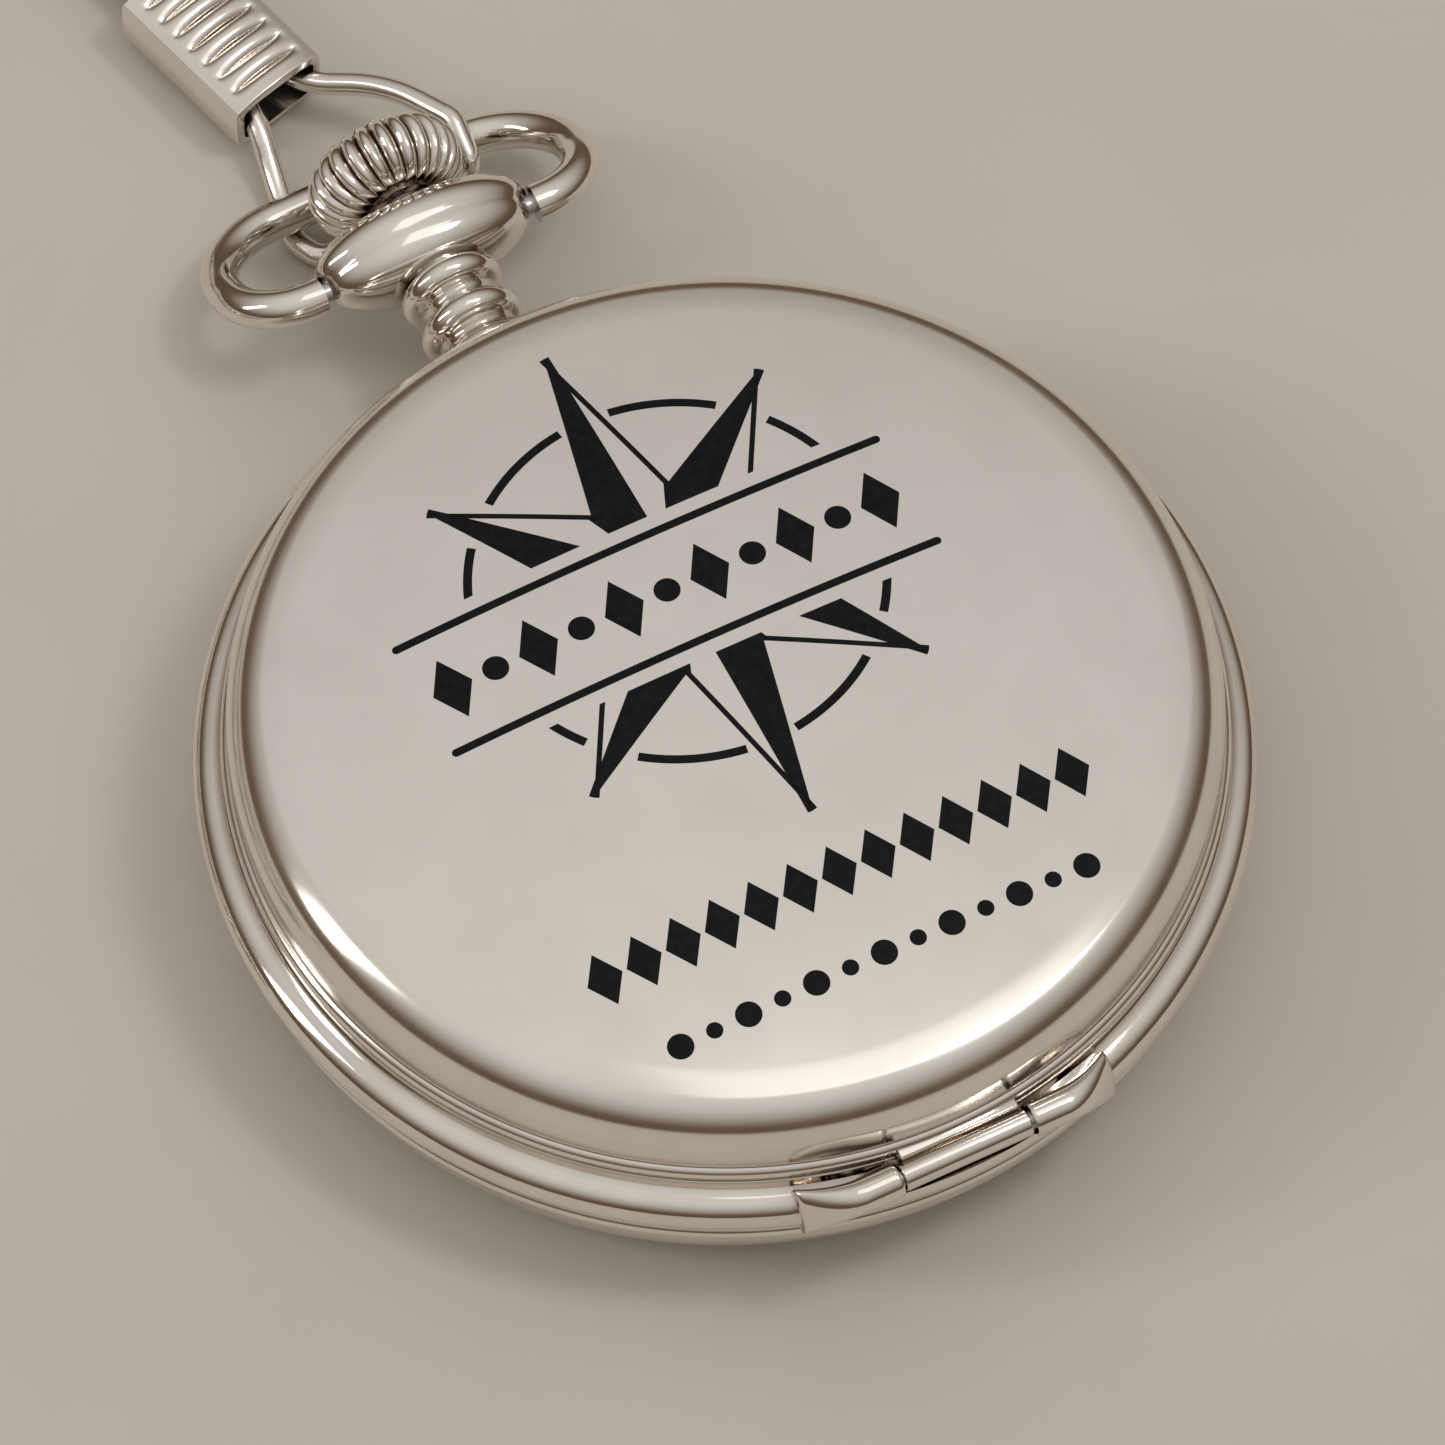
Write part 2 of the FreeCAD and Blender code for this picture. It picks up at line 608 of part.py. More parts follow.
def toggle_bar():
    """Bar with rounded ends that holds the chain in a buttonhole, and its eye."""
    number = LINKS + 3
    centre, heading = chain_route()[number]
    eye = place_link(stadium_link(), number, centre, heading)
    ahead = vec(math.cos(math.radians(heading)), math.sin(math.radians(heading)))
    aside = vec(-ahead.y, ahead.x)
    middle = centre + ahead * (LINK_L / 2 + TOGGLE_R - 0.9)
    half = TOGGLE_L / 2 - TOGGLE_R
    bar = rod(TOGGLE_R, middle - aside * half, middle + aside * half)
    ends = [Part.makeSphere(TOGGLE_R, middle + aside * side * half) for side in (-1, 1)]
    return eye.fuse([bar] + ends)


# ---- write the nodes ----------------------------------------------------------------
def build():
    band = case_band()
    nodes = {
        "case_band": band, "case_back": case_back(), "back_gasket": back_gasket(),
        "lid_hinge_pin": lid_hinge_pin(), "lid_lift_spring": lid_lift_spring(), "front_lid": front_lid(),
        "bezel": bezel(), "crystal": crystal(), "lid_catch": lid_catch(), "pendant": pendant(band),
        "bow_studs": bow_studs(), "bow": bow(), "crown": crown(), "winding_stem": winding_stem(),
        "dial": dial(), "hour_markers": hour_markers(),
        "hour_hand": clock(leaf_hand(9.6, 1.0, 1.45, 0.95, HOUR_Z), 305),
        "minute_hand": clock(leaf_hand(14.6, 0.8, 1.1, 0.6, MINUTE_Z), 60),
        "second_hand": clock(second_hand(), 180), "cannon_pinion": cannon_pinion(),
        "hour_wheel": hour_wheel(), "minute_wheel": minute_wheel(), "seconds_arbor": seconds_arbor(),
        "main_plate": main_plate(), "movement_ring": movement_ring(), "circuit_board": circuit_board(),
        "train_bridge": train_bridge(), "battery": battery(), "battery_clamp": battery_clamp(),
        "drive_coil": drive_coil(), "movement_screws": movement_screws(),
        "clip_sleeve": clip_sleeve(), "clip_frame": clip_frame(), "jaw_left": jaw(-1),
        "jaw_right": jaw(1), "jaw_pins": jaw_pins(), "sleeve_spring": sleeve_spring(),
        "jump_ring": chain_links(1, 1), "end_ring": chain_links(LINKS + 2, LINKS + 2),
        "toggle_bar": toggle_bar(),
    }
    for segment in range(LINKS // LINKS_PER_SEGMENT):
        first = 2 + segment * LINKS_PER_SEGMENT
        nodes["chain_%02d" % (segment + 1)] = chain_links(first, first + LINKS_PER_SEGMENT - 1)
    return nodes


os.makedirs("parts", exist_ok=True)
for name, shape in build().items():
    shape.exportStep("parts/" + name + ".step")
    solids = len(shape.Solids)
    print("%-18s solids %2d  volume %9.2f  valid %s" % (name, solids, shape.Volume, shape.isValid()))
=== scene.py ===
import json
import math
import bmesh
import bpy
from mathutils import Matrix, Vector

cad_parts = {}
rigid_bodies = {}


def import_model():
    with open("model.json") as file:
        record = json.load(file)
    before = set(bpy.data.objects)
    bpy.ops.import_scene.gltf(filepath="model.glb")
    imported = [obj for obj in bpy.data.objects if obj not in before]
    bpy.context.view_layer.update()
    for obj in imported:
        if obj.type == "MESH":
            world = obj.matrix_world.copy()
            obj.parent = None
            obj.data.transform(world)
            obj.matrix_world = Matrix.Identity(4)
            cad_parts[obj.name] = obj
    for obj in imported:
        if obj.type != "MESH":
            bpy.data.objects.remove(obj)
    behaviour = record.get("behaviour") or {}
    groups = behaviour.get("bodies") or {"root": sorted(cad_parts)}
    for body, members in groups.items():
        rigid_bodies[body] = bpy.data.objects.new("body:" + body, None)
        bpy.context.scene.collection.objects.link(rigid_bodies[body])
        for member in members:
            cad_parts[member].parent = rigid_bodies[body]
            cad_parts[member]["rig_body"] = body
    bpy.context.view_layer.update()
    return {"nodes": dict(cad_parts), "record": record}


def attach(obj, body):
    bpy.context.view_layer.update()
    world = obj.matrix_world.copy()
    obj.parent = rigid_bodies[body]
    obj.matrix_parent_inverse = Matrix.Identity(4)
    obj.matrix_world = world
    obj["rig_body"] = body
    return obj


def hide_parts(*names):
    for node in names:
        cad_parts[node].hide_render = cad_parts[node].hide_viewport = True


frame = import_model()

# Sizes are in millimetres in the CAD model's frame and become metres at MM.
MM = 0.001
CASE_R = 23.5
LID_TOP = 13.985          # leaves the inlay just under the model's own height
LID_LIP_Z = 8.2
LID_FACE_R, LID_FACE_Z = 20.3, 12.65   # where the lid's dome starts
DIAL_TOP = 7.05
HINGE_Y, HINGE_Z = -22.95, 8.0
KNUCKLE_R = 0.78
LUG_IN, LUG_STRAIGHT, LUG_END = 3.25, 4.9, 7.6
LUG_DROP = 1.05
NOTCH_Y, NOTCH_Z = -22.0, 6.95
STEM_Z = 6.0
BOW_Y = 29.6
HEAD_TOP = 31.45
HEAD_WIDTH = 2.0        # the head is this much wider than it is deep
CROWN_Y = 32.0
TUBE_R = 1.5
CROWN_R = 3.65
FLUTES = 26
BORE_R = 0.56
BOW_R, BOW_TILT = 0.88, 30.0
CLIP_LEAN = 15.0
CLIP_ORIGIN = (-0.05, 36.095, 2.3)
MOUTH, SLEEVE_LENGTH = 5.8, 8.0
SLEEVE_W, SLEEVE_H = 5.0, 3.1
LINK_WIRE_R, LINK_HALF_W, LINK_STRAIGHT = 0.6, 1.65, 1.25
BAR_TOP, BAR_BOTTOM = 7.85, 1.95       # the ornament's two bars
BAR_HALF = 0.19
ROUND = 288            # steps round the case
SHARP = math.radians(38)


# ---- mesh helpers -------------------------------------------------------------------
def piece(name, bm, body, material, replaced=()):
    """Turns a bmesh drawn in millimetres into a smooth shaded object on its body."""
    bmesh.ops.recalc_face_normals(bm, faces=bm.faces)
    for face in bm.faces:
        face.smooth = True
    for edge in bm.edges:
        edge.smooth = not edge.is_manifold or edge.calc_face_angle(0.0) < SHARP
    mesh = bpy.data.meshes.new(name)
    bm.to_mesh(mesh)
    bm.free()
    mesh.transform(Matrix.Scale(MM, 4))
    obj = bpy.data.objects.new(name, mesh)
    bpy.context.scene.collection.objects.link(obj)
    obj.data.materials.append(material)
    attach(obj, body)
    if replaced:
        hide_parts(*replaced)


def arc(start, through, end, steps=10):
    """Points after start up to end on the circle through three points."""
    (ax, ay), (bx, by), (cx, cy) = start, through, end
    d = 2 * (ax * (by - cy) + bx * (cy - ay) + cx * (ay - by))
    ux = ((ax**2 + ay**2) * (by - cy) + (bx**2 + by**2) * (cy - ay) + (cx**2 + cy**2) * (ay - by)) / d
    uy = ((ax**2 + ay**2) * (cx - bx) + (bx**2 + by**2) * (ax - cx) + (cx**2 + cy**2) * (bx - ax)) / d
    radius = math.hypot(ax - ux, ay - uy)
    first = math.atan2(ay - uy, ax - ux)
    middle = (math.atan2(by - uy, bx - ux) - first) % math.tau
    last = (math.atan2(cy - uy, cx - ux) - first) % math.tau
    sweep = last if middle < last else last - math.tau
    points = []
    for step in range(1, steps + 1):
        angle = first + sweep * step / steps
        points.append((ux + radius * math.cos(angle), uy + radius * math.sin(angle)))
    return points


def outline(start, *steps, fine=10):
    """Sampled outline: (x, y) is a straight step, ((x, y), (x, y)) an arc."""
    points = [start]
    for step in steps:
        if isinstance(step[0], tuple):
            points += arc(points[-1], step[0], step[1], fine)
        else:
            points.append(step)
    return points


def dome(start, top, inward=True):
    """Outline step: a spherical arc between a point and the axis."""
    radius, height = start
    rise = top - height
    sphere = (radius**2 + rise**2) / (2 * rise)
    half = math.asin(radius / sphere) / 2
    middle = (sphere * math.sin(half), top - sphere * (1 - math.cos(half)))
    return (middle, (0.0, top)) if inward else (middle, start)


def join_rings(bm, rings, closed=True, wrap=True):
    """Skins a list of vertex rings with quads."""
    count = len(rings)
    for index in range(count if wrap else count - 1):
        near, far = rings[index], rings[(index + 1) % count]
        size = len(near)
        for step in range(size if closed else size - 1):
            corners = [near[step], near[(step + 1) % size], far[(step + 1) % size], far[step]]
            distinct = list(dict.fromkeys(corners))
            if len(distinct) > 2:
                bm.faces.new(distinct)


def lathe(bm, profile, steps=ROUND, height_axis="Z", shift=(0, 0, 0), shape=None):
    """Solid of revolution of a closed outline (radius, height).  shape may move a point,
    given (radius, height, angle)."""
    poles = {}
    rings = []
    for step in range(steps):
        angle = math.tau * step / steps
        verts = []
        for index, (radius, height) in enumerate(profile):
            if radius < 1e-6:
                if index not in poles:
                    poles[index] = bm.verts.new(turned_point(0, height, 0, height_axis, shift))
                verts.append(poles[index])
                continue
            if shape:
                radius, height = shape(radius, height, angle)
            verts.append(bm.verts.new(turned_point(radius, height, angle, height_axis, shift)))
        rings.append(verts)
    join_rings(bm, rings)


def turned_point(radius, height, angle, height_axis, shift):
    across, other = radius * math.cos(angle), radius * math.sin(angle)
    if height_axis == "Z":
        point = Vector((across, other, height))
    elif height_axis == "Y":
        point = Vector((across, height, other))
    else:
        point = Vector((height, across, other))
    return point + Vector(shift)


def bent_path(points, radii, step=0.12):
    """Dense points along straight runs joined by tangent arcs."""
    points = [Vector(point) for point in points]
    path = [points[0]]
    for before, corner, after, radius in zip(points, points[1:], points[2:], radii):
        back = (before - corner).normalized()
        ahead = (after - corner).normalized()
        half = back.angle(ahead) / 2
        reach = radius / math.tan(half)
        start, end = corner + back * reach, corner + ahead * reach
        centre = corner + (back + ahead).normalized() * (radius / math.sin(half))
        add_run(path, start, step)
        turn = math.pi - 2 * half
        count = max(6, int(radius * turn / step))
        first, last = start - centre, end - centre
        for index in range(1, count + 1):
            share = index / count
            a = math.sin((1 - share) * turn) / math.sin(turn)
            b = math.sin(share * turn) / math.sin(turn)
            path.append(centre + first * a + last * b)
    add_run(path, points[-1], step)
    return path


def add_run(path, end, step):
    start = path[-1]
    count = max(1, int((end - start).length / (step * 4)))
    for index in range(1, count + 1):
        path.append(start.lerp(end, index / count))


def tube(bm, path, radius, sides=28, closed=False, round_ends=True):
    """Round wire along a path; radius is a number or a function of the share along it."""
    count = len(path)
    rings = []
    normal = None
    for index, point in enumerate(path):
        before = path[index - 1] if index or closed else path[0]
        after = path[(index + 1) % count] if index < count - 1 or closed else path[-1]
        tangent = (after - before).normalized()
        if normal is None:
            side = Vector((0, 0, 1)) if abs(tangent.z) < 0.9 else Vector((1, 0, 0))
            normal = tangent.cross(side).normalized()
        normal = (normal - tangent * normal.dot(tangent)).normalized()
        other = tangent.cross(normal)
        size = radius(index / (count - 1)) if callable(radius) else radius
        rings.append(ring_verts(bm, point, normal, other, size, sides))
        if not closed and round_ends and index in (0, count - 1):
            cap_end(bm, rings[-1], point, tangent * (-1 if index == 0 else 1), normal, other, size, sides)
        elif not closed and index in (0, count - 1):
            bm.faces.new(rings[-1] if index else rings[-1][::-1])
    join_rings(bm, rings, wrap=closed)


def ring_verts(bm, centre, normal, other, size, sides):
    verts = []
    for step in range(sides):
        angle = math.tau * step / sides
        verts.append(bm.verts.new(centre + (normal * math.cos(angle) + other * math.sin(angle)) * size))
    return verts


def cap_end(bm, ring, centre, outward, normal, other, size, sides, levels=5):
    """Half ball on the end of a tube."""
    rings = [ring]
    for level in range(1, levels):
        tilt = math.pi / 2 * level / levels
        rings.append(ring_verts(bm, centre + outward * (size * math.sin(tilt)), normal, other,
                                size * math.cos(tilt), sides))
    pole = bm.verts.new(centre + outward * size)
    join_rings(bm, rings, wrap=False)
    last = rings[-1]
    for step in range(sides):
        bm.faces.new([last[step], last[(step + 1) % sides], pole])


def polished_copy(node, slot, bevel=0.0):
    """A piece with the CAD node's shape, welded, with its edges broken by a small bevel."""
    bm = bmesh.new()
    bm.from_mesh(frame["nodes"][node].data)
    bmesh.ops.transform(bm, matrix=Matrix.Scale(1 / MM, 4), verts=bm.verts)
    bmesh.ops.remove_doubles(bm, verts=bm.verts, dist=0.002)
    bmesh.ops.dissolve_limit(bm, angle_limit=math.radians(0.4), verts=bm.verts, edges=bm.edges)
    if bevel:
        edges = [edge for edge in bm.edges if edge.is_manifold and edge.calc_face_angle(0.0) > SHARP]
        bmesh.ops.bevel(bm, geom=edges, offset=bevel, segments=2, profile=0.5, affect="EDGES",
                        clamp_overlap=True)
    body = frame["nodes"][node]["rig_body"]
    piece(node + "_finish", bm, body, MATERIALS[slot], replaced=(node,))


# ---- materials ----------------------------------------------------------------------
class Nodes:
    """Short way to add and link shader nodes."""

    def __init__(self, name):
        self.material = bpy.data.materials.new(name)
        self.material.use_nodes = True
        self.tree = self.material.node_tree
        self.shader = self.tree.nodes["Principled BSDF"]

    def add(self, kind, **settings):
        node = self.tree.nodes.new(kind)
        for key, value in settings.items():
            if key in node.inputs:
                node.inputs[key].default_value = value
            else:
                setattr(node, key, value)
        return node

    def link(self, start, end):
        self.tree.links.new(start, end)

    def place(self, scale=(1, 1, 1)):
        """Object coordinates in metres, scaled."""
        coords = self.add("ShaderNodeTexCoord")
        mapping = self.add("ShaderNodeMapping")
        mapping.inputs["Scale"].default_value = scale
        self.link(coords.outputs["Object"], mapping.inputs["Vector"])
        return mapping.outputs["Vector"]

    def noise(self, scale, detail=3.0, stretch=(1, 1, 1), rough=0.5):
        node = self.add("ShaderNodeTexNoise")
        node.inputs["Scale"].default_value = scale
        node.inputs["Detail"].default_value = detail
        node.inputs["Roughness"].default_value = rough
        self.link(self.place(stretch), node.inputs["Vector"])
        return node.outputs["Fac"]

    def ramp(self, value, stops):
        node = self.add("ShaderNodeValToRGB")
        elements = node.color_ramp.elements
        while len(elements) < len(stops):
            elements.new(0.5)
        for element, (position, colour) in zip(elements, stops):
            element.position = position
            element.color = (*colour, 1)
        self.link(value, node.inputs["Fac"])
        return node.outputs["Color"]

    def span(self, value, low, high):
        node = self.add("ShaderNodeMapRange")
        node.inputs["To Min"].default_value = low
        node.inputs["To Max"].default_value = high
        self.link(value, node.inputs["Value"])
        return node.outputs["Result"]

    def bump(self, height, strength, distance):
        node = self.add("ShaderNodeBump")
        node.inputs["Strength"].default_value = strength
        node.inputs["Distance"].default_value = distance
        self.link(height, node.inputs["Height"])
        return node.outputs["Normal"]

    def mix(self, factor, first, second):
        """Colour output of first, mixed towards a fixed second colour."""
        node = self.add("ShaderNodeMix", data_type="RGBA")
        start, end = [socket for socket in node.inputs if socket.type == "RGBA"]
        self.link(factor, node.inputs["Factor"])
        self.link(first, start)
        end.default_value = (*second, 1)
        return [socket for socket in node.outputs if socket.type == "RGBA"][0]


def silver(name, light, dark, low_rough, high_rough, tarnish_and_shade=0.5, scratch=0.12):
    """Polished silver plate: faint smudges, hairline scratches, and brown painted into the hollows that is
    partly tarnish and partly painted shade.
    """
    n = Nodes(name)
    n.shader.inputs["Metallic"].default_value = 1.0
    smudge = n.noise(260, 4.0)
    clean = n.ramp(smudge, [(0.35, dark), (0.65, light)])
    # painted shade: ambient occlusion browns the creases, grooves and seams between parts, partly tarnish
    # and partly standing in for shade
    hollow_shade = n.add("ShaderNodeAmbientOcclusion", samples=8)
    hollow_shade.inputs["Distance"].default_value = 0.0008
    openness = n.ramp(hollow_shade.outputs["AO"], [(0.30, (1, 1, 1)), (0.85, (0, 0, 0))])
    amount = n.span(openness, 0.0, tarnish_and_shade)
    n.link(n.mix(amount, clean, (0.20, 0.13, 0.08)), n.shader.inputs["Base Color"])
    n.link(n.span(smudge, low_rough, high_rough), n.shader.inputs["Roughness"])
    hairlines = n.noise(5200, 2.0, stretch=(1.0, 0.06, 1.0))
    n.link(n.bump(hairlines, scratch, 0.000004), n.shader.inputs["Normal"])
    return n.material


def steel(name, colour, rough=0.28):
    """Finely ground steel."""
    n = Nodes(name)
    n.shader.inputs["Metallic"].default_value = 1.0
    grain = n.noise(3000, 3.0, stretch=(0.1, 1.0, 1.0))
    darker = tuple(value * 0.8 for value in colour)
    n.link(n.ramp(grain, [(0.3, darker), (0.7, colour)]), n.shader.inputs["Base Color"])
    n.link(n.span(grain, rough * 0.8, rough * 1.3), n.shader.inputs["Roughness"])
    n.link(n.bump(grain, 0.15, 0.00001), n.shader.inputs["Normal"])
    return n.material


def plastic(name, colour, rough=0.45):
    """Moulded or lacquered surface with a fine grain."""
    n = Nodes(name)
    grain = n.noise(1800, 4.0)
    darker = tuple(value * 0.85 for value in colour)
    n.link(n.ramp(grain, [(0.3, darker), (0.7, colour)]), n.shader.inputs["Base Color"])
    n.link(n.span(grain, rough * 0.85, rough * 1.15), n.shader.inputs["Roughness"])
    n.link(n.bump(grain, 0.2, 0.00002), n.shader.inputs["Normal"])
    return n.material


def black_fill():
    """Black enamel laid into the lid's ornament."""
    n = Nodes("black_fill")
    grain = n.noise(2600, 5.0)
    n.link(n.ramp(grain, [(0.3, (0.004, 0.004, 0.005)), (0.75, (0.012, 0.012, 0.014))]),
           n.shader.inputs["Base Color"])
    n.link(n.span(grain, 0.4, 0.5), n.shader.inputs["Roughness"])
    n.shader.inputs["Specular IOR Level"].default_value = 0.12
    n.link(n.bump(grain, 0.25, 0.00001), n.shader.inputs["Normal"])
    return n.material


def enamel_dial():
    """Cream dial with a fine radial grain."""
    n = Nodes("dial_enamel")
    cloud = n.noise(120, 4.0)
    n.link(n.ramp(cloud, [(0.3, (0.85, 0.825, 0.765)), (0.7, (0.88, 0.86, 0.805))]),
           n.shader.inputs["Base Color"])
    n.link(n.span(n.noise(900, 3.0), 0.22, 0.34), n.shader.inputs["Roughness"])
    n.link(n.bump(n.noise(2400, 5.0), 0.08, 0.00001), n.shader.inputs["Normal"])
    return n.material


def glass():
    """Clear mineral glass, thinned out so that the dial stays bright."""
    n = Nodes("mineral_glass")
    n.shader.inputs["Transmission Weight"].default_value = 1.0
    n.shader.inputs["IOR"].default_value = 1.5
    n.shader.inputs["Alpha"].default_value = 0.3
    n.link(n.ramp(n.noise(300, 2.0), [(0.3, (0.96, 0.98, 0.98)), (0.7, (1, 1, 1))]),
           n.shader.inputs["Base Color"])
    n.link(n.span(n.noise(500, 2.0), 0.0, 0.02), n.shader.inputs["Roughness"])
    return n.material


WARM_LIGHT, WARM_DARK = (0.86, 0.82, 0.77), (0.80, 0.755, 0.70)
MATERIALS = {
    "lid_silver": silver("lid_silver", (0.87, 0.835, 0.79), (0.84, 0.80, 0.755), 0.13, 0.19, 0.3, 0.05),
    "case_silver": silver("case_silver", WARM_LIGHT, WARM_DARK, 0.06, 0.12),
    "crown_silver": silver("crown_silver", WARM_LIGHT, WARM_DARK, 0.10, 0.18, 0.85),
    "bow_silver": silver("bow_silver", WARM_LIGHT, WARM_DARK, 0.07, 0.14),
    "clip_silver": silver("clip_silver", WARM_LIGHT, WARM_DARK, 0.14, 0.24, 0.8),
    "chain_silver": silver("chain_silver", WARM_LIGHT, WARM_DARK, 0.08, 0.16, 0.6),
    "steel": steel("ground_steel", (0.62, 0.62, 0.63)),
    "spring_steel": steel("spring_steel", (0.38, 0.39, 0.42)),
    "brass": steel("satin_brass", (0.80, 0.62, 0.30)),
    "copper_winding": steel("copper_winding", (0.72, 0.36, 0.18)),
    "rubber_black": plastic("rubber_black", (0.03, 0.03, 0.03), 0.7),
    "plastic_white": plastic("plastic_white", (0.75, 0.75, 0.72)),
    "board_green": plastic("board_green", (0.04, 0.20, 0.10), 0.3),
    "dial_white": enamel_dial(),
    "marker_dark": plastic("marker_dark", (0.03, 0.03, 0.035), 0.2),
    "hand_black": plastic("hand_black", (0.02, 0.02, 0.022), 0.18),
    "mineral_glass": glass(),
}


def dress_cad_nodes():
    """Every CAD node gets its slot's material, seen or not."""
    slots = {entry["node"]: entry["material_slot"] for entry in frame["record"]["subparts"]}
    for node, obj in frame["nodes"].items():
        material = MATERIALS[slots[node]]
        if not obj.data.materials:
            obj.data.materials.append(material)
        for index in range(len(obj.data.materials)):
            obj.data.materials[index] = material


# ---- case ---------------------------------------------------------------------------
def lid_profile():
    """Outline of the lid's shell: lip, rounded wall, dome, and the same again inside."""
    lip, top = LID_LIP_Z, LID_TOP
    return outline((22.0, lip), ((22.25, lip + 0.4), (21.95, lip + 0.85)), (21.95, 10.5),
                   ((21.45, 11.85), (LID_FACE_R, LID_FACE_Z)), dome((LID_FACE_R, LID_FACE_Z), top),
                   (0.0, top - 0.7),
                   dome((20.0, 12.0), top - 0.7, inward=False), ((20.9, 11.4), (21.25, 10.4)),
                   (21.25, lip), fine=16)


def front_lid():
    """The lid's shell, its middle knuckle and the web between them."""
    bm = bmesh.new()
    lathe(bm, lid_profile())
    piece("lid_shell", bm, "lid", MATERIALS["lid_silver"], ("front_lid",))
    bm = bmesh.new()
    knuckle = outline((0.45, -3.1), (0.55, -3.1), ((0.61, -3.07), (0.63, -3.0)), (0.63, 3.0),
                      ((0.61, 3.07), (0.55, 3.1)), (0.45, 3.1), fine=4)
    lathe(bm, knuckle, 48, "X", (0, HINGE_Y, HINGE_Z))
    piece("lid_knuckle", bm, "lid", MATERIALS["case_silver"])
    bm = bmesh.new()
    box_mesh(bm, (-2.9, 2.9), (HINGE_Y + 0.5, -21.6), (LID_LIP_Z + 0.05, LID_LIP_Z + 0.6), 0.08)
    piece("lid_knuckle_web", bm, "lid", MATERIALS["case_silver"])


def box_mesh(bm, xs, ys, zs, bevel):
    """Box between two values on each axis, with rounded edges."""
    corners = {}
    for i, x in enumerate(xs):
        for j, y in enumerate(ys):
            for k, z in enumerate(zs):
                corners[i, j, k] = bm.verts.new((x, y, z))
    faces = []
    for axis in range(3):
        for side in (0, 1):
            verts = []
            for pair in ((0, 0), (1, 0), (1, 1), (0, 1)):
                key = list(pair)
                key.insert(axis, side)
                verts.append(corners[tuple(key)])
            faces.append(bm.faces.new(verts))
    edges = list({edge for face in faces for edge in face.edges})
    bmesh.ops.bevel(bm, geom=edges, offset=bevel, segments=3, profile=0.5, affect="EDGES")


def case_band():
    """Band with two beads; the upper bead stops each side of the lid's hinge."""
    profile = outline((21.4, 4.1), (22.4, 4.1), ((22.47, 4.13), (22.5, 4.2)),
                      ((23.0, 4.62), (22.55, 5.1)), ((22.47, 5.2), (22.45, 5.3)),
                      ((22.49, 5.4), (22.6, 5.5)), ((23.5, 6.55), (22.6, 7.6)),
                      ((22.42, 7.68), (22.3, 7.75)), (22.2, 8.05), ((22.17, 8.12), (22.1, 8.15)),
                      (21.2, 8.15), (21.2, 7.1), (19.6, 7.1), (19.6, 5.3), (21.4, 5.3), fine=12)
    bm = bmesh.new()
    notch_steps = 40
    edge_angle = math.asin(LUG_END / CASE_R)
    down = -math.pi / 2
    angles = [(down + edge_angle + (math.tau - 2 * edge_angle) * step / ROUND, False)
              for step in range(ROUND + 1)]
    angles += [(down - edge_angle + 2 * edge_angle * step / notch_steps, True)
               for step in range(notch_steps + 1)]
    rings = []
    for angle, notched in angles:
        verts = []
        for radius, height in profile:
            if notched:
                limit = abs(NOTCH_Y) / abs(math.sin(angle))
                if radius > limit:
                    height = min(height, NOTCH_Z)
                if height > NOTCH_Z - 1e-6 and radius <= limit + 1e-6:
                    radius = min(radius, limit)
            verts.append(bm.verts.new((radius * math.cos(angle), radius * math.sin(angle), height)))
        rings.append(verts)
    join_rings(bm, rings)
    bmesh.ops.remove_doubles(bm, verts=bm.verts, dist=0.0005)
    piece("case_band_shell", bm, "case", MATERIALS["case_silver"], ("case_band",))


def hinge_lugs():
    """Outer knuckles of the lid's hinge, which sweep down and widen into the bead."""
    for side, label in ((-1, "left"), (1, "right")):
        bm = bmesh.new()
        count = 48
        rings = []
        for step in range(count + 1):
            share = step / count
            x = side * (LUG_IN + (LUG_END - LUG_IN) * share)
            run = max(0.0, (abs(x) - LUG_STRAIGHT) / (LUG_END - LUG_STRAIGHT))
            sweep = run ** 1.8
            centre = Vector((x, HINGE_Y + LUG_DROP * sweep, HINGE_Z - LUG_DROP * sweep))
            down = Vector((0, -0.35, -0.937)) * (KNUCKLE_R + 0.5 * sweep)
            across = Vector((0, 0.937, -0.35)) * (KNUCKLE_R - 0.17 * sweep)
            shrink = 0.94 if step in (0, count) else 1.0
            verts = []
            for turn in range(count):
                angle = math.tau * turn / count
                spoke = down * math.cos(angle) + across * math.sin(angle)
                verts.append(bm.verts.new(centre + spoke * shrink))
            rings.append(verts)
        join_rings(bm, rings, wrap=False)
        bm.faces.new(rings[0])
        bm.faces.new(rings[-1])
        piece("hinge_lug_" + label, bm, "case", MATERIALS["case_silver"])


def case_back():
    profile = outline((0.0, 0.0), (13.5, 0.0), ((17.6, 0.25), (20.9, 1.2)), ((22.1, 2.2), (22.55, 3.6)),
                      (22.55, 3.97), ((22.53, 4.03), (22.47, 4.05)), (21.3, 4.05), (21.3, 5.0), (20.75, 5.0),
                      (20.75, 3.6), ((20.2, 2.3), (18.6, 1.4)), ((16.2, 0.95), (13.5, 0.8)), (0.0, 0.8))
    bm = bmesh.new()
    lathe(bm, profile)
    piece("case_back_shell", bm, "case", MATERIALS["case_silver"], ("case_back",))


